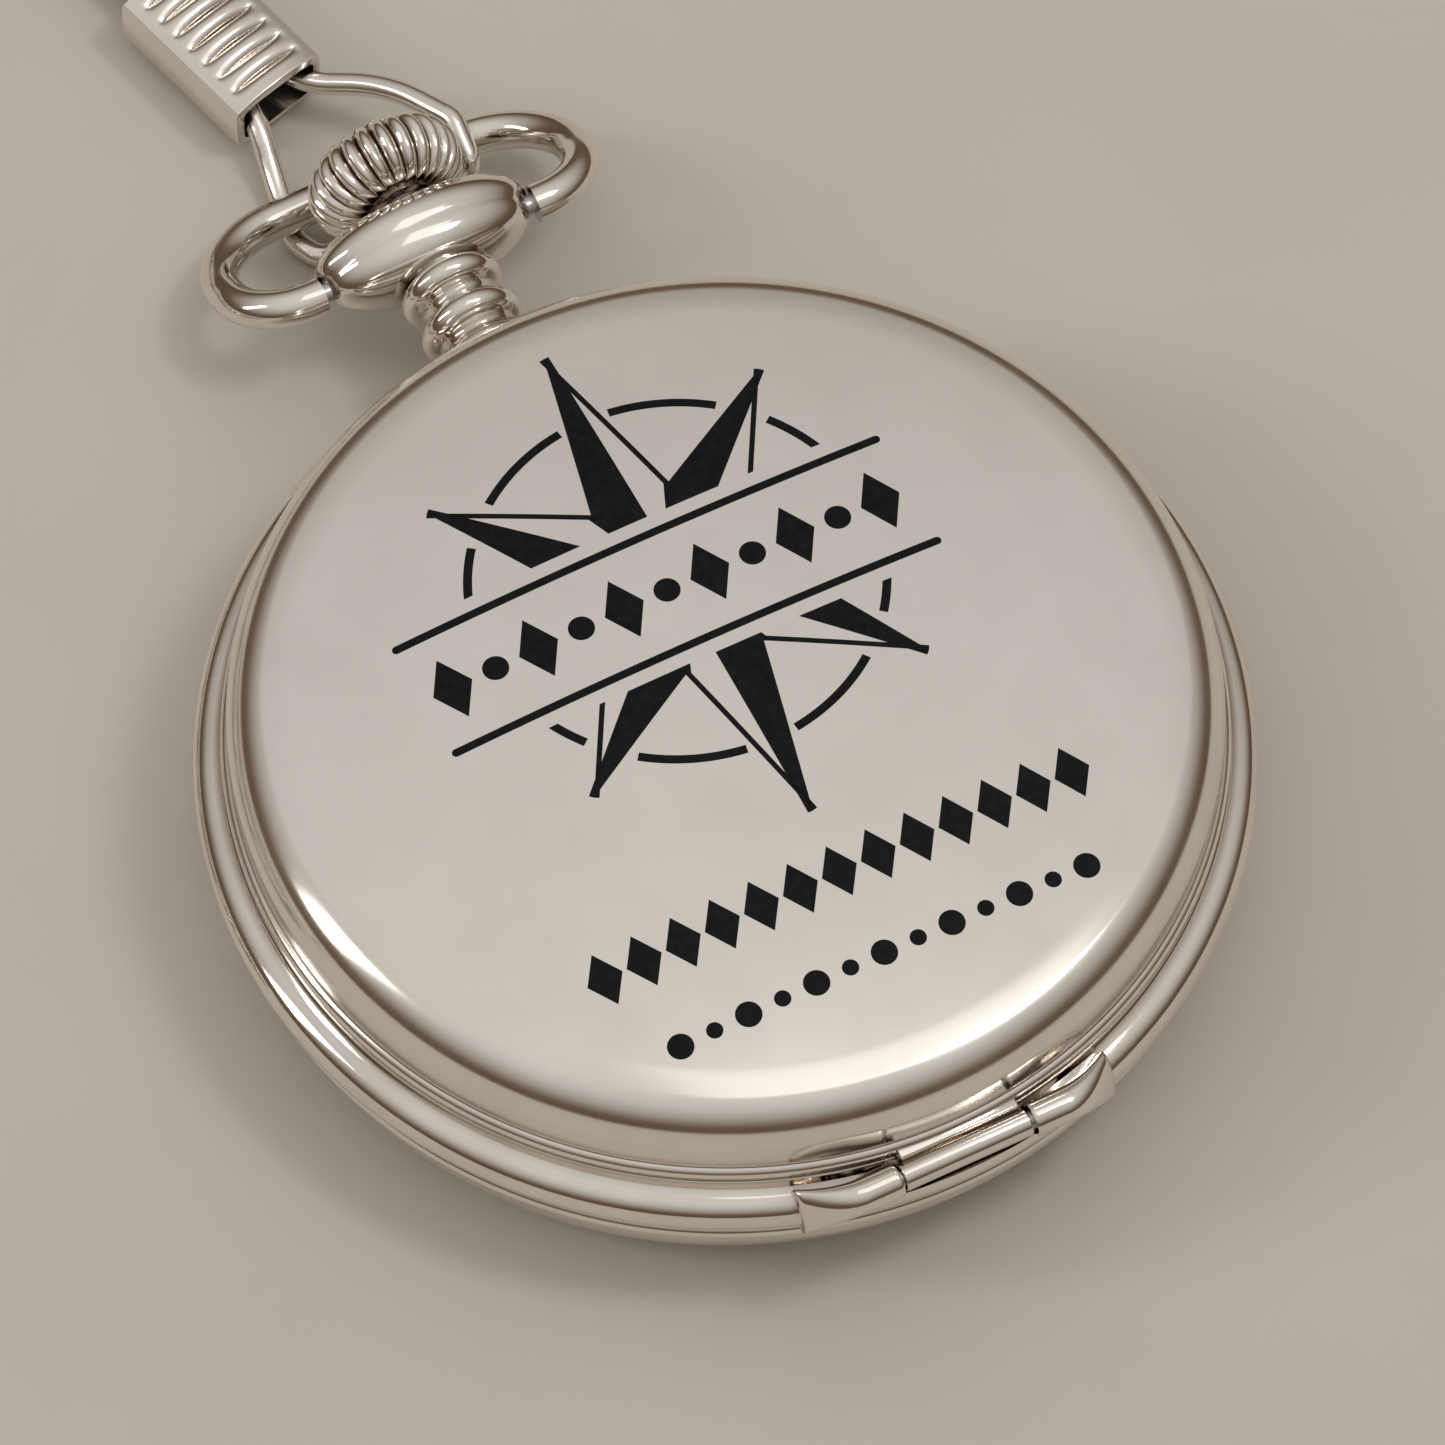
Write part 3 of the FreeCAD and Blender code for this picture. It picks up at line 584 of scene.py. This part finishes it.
# ---- pendant, crown, bow ------------------------------------------------------------
def pendant():
    """Neck with two rings, oval head, and the tube that enters the crown."""
    profile = outline((BORE_R, 22.6), (2.4, 22.6), ((2.5, 22.9), (2.42, 23.5)), ((2.0, 24.0), (1.9, 24.5)),
                      ((2.45, 25.1), (1.95, 25.75)), ((1.6, 26.1), (1.85, 26.5)),
                      ((2.45, 27.1), (1.8, 27.75)), (1.5, 28.4), (BORE_R, 28.4), fine=10)
    bm = bmesh.new()
    lathe(bm, profile, 96, "Y", (0, 0, STEM_Z))
    piece("pendant_neck", bm, "case", MATERIALS["case_silver"], ("pendant",))
    head = outline((0.3, 27.8), (0.8, 27.8), ((1.95, 28.3), (2.5, 29.7)), ((2.6, 30.5), (2.3, 31.15)),
                   ((2.1, 31.4), (1.8, HEAD_TOP)), (0.3, HEAD_TOP), fine=16)
    collar = outline((BORE_R, 31.0), (TUBE_R, 31.0), (TUBE_R, CROWN_Y - 0.18),
                     ((TUBE_R - 0.03, CROWN_Y - 0.11), (TUBE_R - 0.1, CROWN_Y - 0.1)),
                     (BORE_R, CROWN_Y - 0.1), fine=4)
    bm = bmesh.new()
    lathe(bm, head, 128, "Y")
    for vert in bm.verts:
        vert.co.x *= HEAD_WIDTH
        vert.co.z += STEM_Z
    lathe(bm, collar, 64, "Y", (0, 0, STEM_Z))
    piece("pendant_head", bm, "case", MATERIALS["case_silver"])


def crown():
    """Onion crown: rounded ridges between narrow grooves."""
    base, tip = CROWN_Y, CROWN_Y + 3.5
    profile = outline((1.65, base), (2.1, base), ((3.1, base + 0.45), (CROWN_R, base + 1.5)),
                      ((3.5, base + 2.6), (2.6, base + 3.25)), ((2.2, base + 3.45), (1.6, tip)), (0.0, tip),
                      (0.0, base + 0.65), (1.65, base + 0.65), fine=20)

    def flute(radius, height, angle):
        """Rounded ridges that fade out towards the axis."""
        ridge = abs(math.sin(FLUTES * angle / 2)) ** 0.7
        depth = 0.42 * min(1.0, max(0.0, radius - 1.8) / 0.9)
        return radius - depth * (1 - ridge), height

    bm = bmesh.new()
    lathe(bm, profile, FLUTES * 20, "Y", (0, 0, STEM_Z), flute)
    piece("crown_fluted", bm, "crown", MATERIALS["crown_silver"], ("crown",))


def bow():
    """Stirrup of round wire, tilted towards the table."""
    low, high = -0.1, 7.5
    points = [(5.3, low, 0), (8.5, low, 0), (8.9, high, 0), (-8.9, high, 0), (-8.5, low, 0), (-5.3, low, 0)]
    bm = bmesh.new()
    tube(bm, bent_path(points, [2.9, 4.2, 4.2, 2.9]), BOW_R, sides=40, round_ends=False)
    tilt = Matrix.Rotation(math.radians(-BOW_TILT), 3, "X")
    bmesh.ops.rotate(bm, verts=bm.verts, cent=(0, 0, 0), matrix=tilt)
    bmesh.ops.translate(bm, verts=bm.verts, vec=(0, BOW_Y, STEM_Z))
    piece("bow_wire", bm, "bow", MATERIALS["bow_silver"], ("bow",))


# ---- clip ---------------------------------------------------------------------------
def to_clip(bm):
    """Moves a mesh from the clip's own axes (across, along, up) to its place."""
    lean = Matrix.Rotation(math.radians(CLIP_LEAN), 3, "Z")
    bmesh.ops.rotate(bm, verts=bm.verts, cent=(0, 0, 0), matrix=lean)
    bmesh.ops.translate(bm, verts=bm.verts, vec=CLIP_ORIGIN)


def sleeve_ring(bm, along, shrink):
    """Cross section of the sleeve, with its grooves pressed into the arched top."""
    half_w, half_h = SLEEVE_W / 2 - shrink, SLEEVE_H / 2 - shrink
    corner, crest, arch = 0.45, 0.15, 0.42
    groove_half, groove_depth = 1.9, 0.34
    run = along - MOUTH
    grooved = 0.5 < run < SLEEVE_LENGTH - 0.5
    groove = 1 - abs(math.sin(math.pi * run)) ** 0.7 if grooved else 0.0
    points = []
    for step in range(49):
        share = -1 + step / 24
        across = share * (half_w - 0.12)
        up = half_h + crest - arch * share * share
        lens = max(0.0, 1 - (across / groove_half) ** 2)
        points.append((-across, up - groove_depth * groove * lens ** 0.5))
    points.append((-half_w, half_h - 0.5))
    for sign in (-1, 1):
        for step in range(7):
            angle = math.pi / 2 * step / 6
            if sign < 0:
                spot = (math.cos(angle), math.sin(angle))
            else:
                spot = (math.sin(angle), math.cos(angle))
            points.append((sign * (half_w - corner + corner * spot[0]), -half_h + corner - corner * spot[1]))
    points.append((half_w, half_h - 0.5))
    return [bm.verts.new((across, along, up)) for across, up in points]


def clip_sleeve():
    """Sleeve skinned from its cross sections, with an open mouth."""
    bm = bmesh.new()
    end = MOUTH + SLEEVE_LENGTH
    rings = [sleeve_ring(bm, MOUTH, 0.08), sleeve_ring(bm, MOUTH + 0.03, 0.02)]
    count = 320
    for step in range(count + 1):
        rings.append(sleeve_ring(bm, MOUTH + 0.08 + (SLEEVE_LENGTH - 0.16) * step / count, 0.0))
    rings += [sleeve_ring(bm, end - 0.03, 0.02), sleeve_ring(bm, end, 0.08)]
    join_rings(bm, rings, wrap=False)
    bm.faces.new(rings[-1])
    size = len(rings[0])
    mouth, depth = [], []
    for vert in rings[0]:
        across = max(-2.1, min(2.1, vert.co.x * 0.86))
        up = max(-1.2, min(1.15, vert.co.z * 0.8))
        mouth.append(bm.verts.new((across, MOUTH, up)))
        depth.append(bm.verts.new((across, end - 0.5, up)))
    join_rings(bm, [rings[0], mouth, depth], wrap=False)
    bm.faces.new(depth)
    to_clip(bm)
    piece("clip_sleeve_shell", bm, "sleeve", MATERIALS["clip_silver"], ("clip_sleeve",))


# ---- chain --------------------------------------------------------------------------
def islands(node):
    """Separate solids of a CAD node, each as a list of its points in millimetres."""
    bm = bmesh.new()
    bm.from_mesh(frame["nodes"][node].data)
    bmesh.ops.remove_doubles(bm, verts=bm.verts, dist=1e-6)
    left = set(bm.verts)
    found = []
    while left:
        stack = [left.pop()]
        members = []
        while stack:
            vert = stack.pop()
            members.append(vert.co / MM)
            for edge in vert.link_edges:
                other = edge.other_vert(vert)
                if other in left:
                    left.remove(other)
                    stack.append(other)
        found.append(members)
    bm.free()
    return sorted(found, key=lambda points: min(point.x for point in points))


def link_frame(points):
    """Centre of a link, its long way and the way across its loop."""
    low = [min(point[axis] for point in points) for axis in range(3)]
    high = [max(point[axis] for point in points) for axis in range(3)]
    centre = Vector([(a + b) / 2 for a, b in zip(low, high)])
    far = max(points, key=lambda point: (point - centre).length)
    ends = [point for point in points if (point - centre).dot(far - centre) > 0
            and (point - centre).length > 0.93 * (far - centre).length]
    end = sum(ends, Vector()) / len(ends)
    long_way = Vector((end.x - centre.x, end.y - centre.y, 0.0)).normalized()
    level = Vector((-long_way.y, long_way.x, 0.0))
    up = Vector((0, 0, 1))
    tilt = sum((point - centre).dot(level) * (point - centre).dot(up) for point in points)
    across = (level + up * math.copysign(1.0, tilt)).normalized()
    return centre, long_way, across


def add_link(bm, centre, long_way, across, steps=84):
    """One smooth oval link."""
    path = []
    for step in range(steps):
        x, y = stadium(step / steps, LINK_HALF_W, LINK_STRAIGHT)
        path.append(centre + long_way * x + across * y)
    tube(bm, path, LINK_WIRE_R, sides=24, closed=True)


def stadium(share, half_w, straight):
    """Point at a share of the way round a stadium."""
    total = 4 * straight + math.tau * half_w
    run = share * total
    if run < 2 * straight:
        return run - straight, -half_w
    run -= 2 * straight
    if run < math.pi * half_w:
        angle = run / half_w - math.pi / 2
        return straight + half_w * math.cos(angle), half_w * math.sin(angle)
    run -= math.pi * half_w
    if run < 2 * straight:
        return straight - run, half_w
    run -= 2 * straight
    angle = run / half_w + math.pi / 2
    return -straight + half_w * math.cos(angle), half_w * math.sin(angle)


def chain():
    """Every CAD link gets a smooth one in its place."""
    names = ["jump_ring"] + [name for name in sorted(frame["nodes"]) if name.startswith("chain_")]
    names.append("end_ring")
    for name in names:
        bm = bmesh.new()
        for points in islands(name):
            add_link(bm, *link_frame(points))
        piece(name + "_links", bm, frame["nodes"][name]["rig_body"],
              MATERIALS["chain_silver"], (name,))


# ---- dial ---------------------------------------------------------------------------
def dial_track():
    """Minute strokes printed round the dial, a little longer at every fifth."""
    bm = bmesh.new()
    for minute in range(60):
        angle = math.tau * minute / 60
        inner, half = (17.45, 0.11) if minute % 5 == 0 else (17.75, 0.06)
        out = Vector((math.sin(angle), math.cos(angle), 0))
        side = Vector((out.y, -out.x, 0)) * half
        low = [bm.verts.new(out * r + side * s + Vector((0, 0, DIAL_TOP - 0.01)))
               for r, s in ((inner, -1), (18.3, -1), (18.3, 1), (inner, 1))]
        high = [bm.verts.new(vert.co + Vector((0, 0, 0.02))) for vert in low]
        join_rings(bm, [low, high], wrap=False)
        bm.faces.new(low)
        bm.faces.new(high)
    piece("dial_track", bm, "case", MATERIALS["hand_black"])


# ---- lid ornament -------------------------------------------------------------------
def lid_height(x, y):
    """Height of the lid's dome above a point."""
    rise = LID_TOP - LID_FACE_Z
    sphere = (LID_FACE_R**2 + rise**2) / (2 * rise)
    return LID_TOP - sphere + math.sqrt(sphere**2 - x * x - y * y)


def inlay(name, shapes):
    """Thin black shapes laid on the dome.  Each shape is a list of (x, y)."""
    bm = bmesh.new()
    for shape in shapes:
        face = bm.faces.new([bm.verts.new((x, y, 0)) for x, y in shape])
        bmesh.ops.triangulate(bm, faces=[face])
    for _ in range(6):
        long_edges = [edge for edge in bm.edges if edge.calc_length() > 1.6]
        if not long_edges:
            break
        bmesh.ops.subdivide_edges(bm, edges=long_edges, cuts=1)
        bmesh.ops.triangulate(bm, faces=[face for face in bm.faces if len(face.verts) > 3])
    for vert in bm.verts:
        vert.co.z = lid_height(vert.co.x, vert.co.y) + 0.012
    faces = list(bm.faces)
    for face in faces:
        if face.normal.z < 0:
            face.normal_flip()
    low = bmesh.ops.extrude_face_region(bm, geom=faces)
    for item in low["geom"]:
        if isinstance(item, bmesh.types.BMVert):
            item.co.z -= 0.04
    piece(name, bm, "lid", BLACK)


def strip(x0, x1, y, half, ends=8):
    """Bar with rounded ends."""
    points = []
    for centre, start in ((x1, -math.pi / 2), (x0, math.pi / 2)):
        for step in range(ends + 1):
            angle = start + math.pi * step / ends
            points.append((centre + half * math.cos(angle), y + half * math.sin(angle)))
    return points


def lozenge(x, y, half_w, half_h):
    return [(x - half_w, y), (x, y - half_h), (x + half_w, y), (x, y + half_h)]


def dot(x, y, radius, steps=24):
    return [(x + radius * math.cos(math.tau * s / steps), y + radius * math.sin(math.tau * s / steps))
            for s in range(steps)]


def cut_above(shape, level):
    """Part of a convex shape above a level line."""
    return clip_shape(shape, lambda y: y - level)


def cut_below(shape, level):
    """Part of a convex shape below a level line."""
    return clip_shape(shape, lambda y: level - y)


def clip_shape(shape, side):
    """Part of a convex shape where side, a function of height, is not negative."""
    kept = []
    for (x0, y0), (x1, y1) in zip(shape, shape[1:] + shape[:1]):
        a, b = side(y0), side(y1)
        if a >= 0:
            kept.append((x0, y0))
        if a * b < 0:
            share = a / (a - b)
            kept.append((x0 + (x1 - x0) * share, y0 + (y1 - y0) * share))
    return kept


def compass_star(centre, high, low):
    """Eight blades, one half of each filled, with the middle left free for the bars."""
    waist = 5.0
    shapes = []
    for number in range(8):
        angle = math.tau * number / 8
        reach = 13.1 if number in (2, 6) else 11.6
        tip = centre + reach * Vector((math.cos(angle), math.sin(angle)))
        for side in (-1, 1):
            shoulder = angle + side * math.pi / 8
            notch = centre + waist * Vector((math.cos(shoulder), math.sin(shoulder)))
            facet = [tuple(centre), tuple(tip), tuple(notch)]
            parts = [facet] if side > 0 else thin_outline(facet, 0.24)
            for part in parts:
                shapes += [cut_above(part, high), cut_below(part, low)]
    return [shape for shape in shapes if len(shape) > 2]


def broken_ring(centre, high, low, inner=9.0, outer=9.4, steps=240):
    """Ring behind the star, left out where a blade or the bars cross it."""
    shapes = []
    for step in range(steps):
        corners = []
        for radius, turn in ((inner, step), (outer, step), (outer, step + 1), (inner, step + 1)):
            angle = math.tau * turn / steps
            corners.append(tuple(centre + radius * Vector((math.cos(angle), math.sin(angle)))))
        kept = cut_above(corners, high) if corners[0][1] > centre.y else cut_below(corners, low)
        from_blade = abs((360 * (step + 0.5) / steps + 22.5) % 45 - 22.5)
        if len(kept) > 2 and from_blade >= 7.5:
            shapes.append(kept)
    return shapes


def ornament():
    """Compass star parted by two bars, with rows of lozenges and dots below."""
    centre = Vector((0.3, 5.3))
    high, low = BAR_TOP + 0.85, BAR_BOTTOM - 0.85
    inlay("lid_star", compass_star(centre, high, low))
    inlay("lid_ring", broken_ring(centre, high, low))
    inlay("lid_bars", [strip(-12.2, 11.4, level, BAR_HALF) for level in (BAR_TOP, BAR_BOTTOM)])
    row = []
    for index in range(11):
        x = -10.9 + 2.1 * index
        row.append(lozenge(x, 4.9, 0.95, 1.6) if index % 2 == 0 else dot(x, 4.9, 0.6))
    inlay("lid_row_middle", row)
    inlay("lid_row_lower", [lozenge(-11.4 + 1.9 * i, -10.9, 0.85, 1.3) for i in range(13)])
    inlay("lid_row_last", [dot(-9.9 + 1.65 * i, -15.2, 0.38 if i % 2 else 0.6) for i in range(13)])


def thin_outline(triangle, width):
    """Narrow strips just inside a triangle's sides."""
    strips = []
    cx = sum(x for x, _ in triangle) / 3
    cy = sum(y for _, y in triangle) / 3
    for (x0, y0), (x1, y1) in zip(triangle, triangle[1:] + triangle[:1]):
        length = math.hypot(x1 - x0, y1 - y0)
        nx, ny = -(y1 - y0) / length, (x1 - x0) / length
        if (cx - x0) * nx + (cy - y0) * ny < 0:
            nx, ny = -nx, -ny
        dx, dy = nx * width, ny * width
        strips.append([(x0, y0), (x1, y1), (x1 + dx, y1 + dy), (x0 + dx, y0 + dy)])
    return strips


# ---- stage --------------------------------------------------------------------------
def area_light(name, place, size, radiance, colour):
    """Soft light of a given brightness aimed at the watch; sizes and places in metres."""
    data = bpy.data.lights.new(name, "AREA")
    data.shape = "RECTANGLE"
    data.size, data.size_y = size
    data.energy = radiance * math.pi * size[0] * size[1]
    data.color = colour
    light = bpy.data.objects.new(name, data)
    light.location = place
    light.rotation_euler = (-Vector(place)).to_track_quat("-Z", "Y").to_euler()
    bpy.context.scene.collection.objects.link(light)


def from_watch(azimuth, elevation, distance):
    """Point at a bearing from the watch: azimuth 0 is -Y, 90 is +X."""
    a, e = math.radians(azimuth), math.radians(elevation)
    return (distance * math.sin(a) * math.cos(e), -distance * math.cos(a) * math.cos(e),
            distance * math.sin(e))


def studio():
    """Bright above, dark towards the horizon, with three soft lights."""
    world = bpy.data.worlds.new("studio")
    bpy.context.scene.world = world
    world.use_nodes = True
    tree = world.node_tree
    background = tree.nodes["Background"]
    coords = tree.nodes.new("ShaderNodeTexCoord")
    split = tree.nodes.new("ShaderNodeSeparateXYZ")
    ramp = tree.nodes.new("ShaderNodeValToRGB")
    tree.links.new(coords.outputs["Generated"], split.inputs["Vector"])
    tree.links.new(split.outputs["Z"], ramp.inputs["Fac"])
    tree.links.new(ramp.outputs["Color"], background.inputs["Color"])
    stops = [(0.0, (0.09, 0.06, 0.035)), (0.25, (0.15, 0.105, 0.07)), (0.55, (0.40, 0.37, 0.34)),
             (0.8, (0.60, 0.575, 0.55)), (1.0, (0.70, 0.68, 0.65))]
    elements = ramp.color_ramp.elements
    while len(elements) < len(stops):
        elements.new(0.5)
    for element, (position, colour) in zip(elements, stops):
        element.position = position
        element.color = (*colour, 1)
    area_light("glow", from_watch(70, 80, 0.8), (0.34, 0.34), 0.45, (1.0, 0.98, 0.95))
    area_light("key", from_watch(60, 66, 0.9), (0.16, 0.16), 12.0, (1.0, 0.96, 0.9))
    area_light("side", from_watch(-110, 35, 0.8), (0.12, 0.4), 5.0, (1.0, 0.97, 0.93))


def floor():
    """Plain pale paper under the object."""
    bm = bmesh.new()
    bmesh.ops.create_circle(bm, cap_ends=True, radius=900, segments=96)
    mesh = bpy.data.meshes.new("floor")
    bm.to_mesh(mesh)
    bm.free()
    mesh.transform(Matrix.Scale(MM, 4))
    obj = bpy.data.objects.new("floor", mesh)
    bpy.context.scene.collection.objects.link(obj)
    n = Nodes("floor_paper")
    n.link(n.ramp(n.noise(40, 4.0), [(0.3, (0.66, 0.62, 0.565)), (0.7, (0.70, 0.66, 0.605))]),
           n.shader.inputs["Base Color"])
    n.link(n.span(n.noise(60, 3.0), 0.75, 0.9), n.shader.inputs["Roughness"])
    n.link(n.bump(n.noise(1500, 4.0), 0.15, 0.00005), n.shader.inputs["Normal"])
    obj.data.materials.append(n.material)


def camera():
    """Long lens from the lower left, 60 degrees above the table."""
    elevation, bearing, distance = 60.508, -26.904, 0.76117
    target = Vector((0.513, 1.329, 7.0)) * MM
    data = bpy.data.cameras.new("camera")
    data.sensor_width = 36.0
    data.lens = 430.02
    data.clip_start = 0.01
    obj = bpy.data.objects.new("camera", data)
    obj.location = target + Vector(from_watch(bearing, elevation, distance))
    obj.rotation_euler = (target - obj.location).to_track_quat("-Z", "Y").to_euler()
    bpy.context.scene.collection.objects.link(obj)
    bpy.context.scene.camera = obj
    bpy.context.scene.view_settings.view_transform = "Standard"


BLACK = black_fill()
dress_cad_nodes()
front_lid()
case_band()
hinge_lugs()
case_back()
pendant()
crown()
bow()
chain()
ornament()
dial_track()
clip_sleeve()
polished_copy("clip_frame", "clip_silver", 0.05)
polished_copy("toggle_bar", "chain_silver")
studio()
floor()
camera()
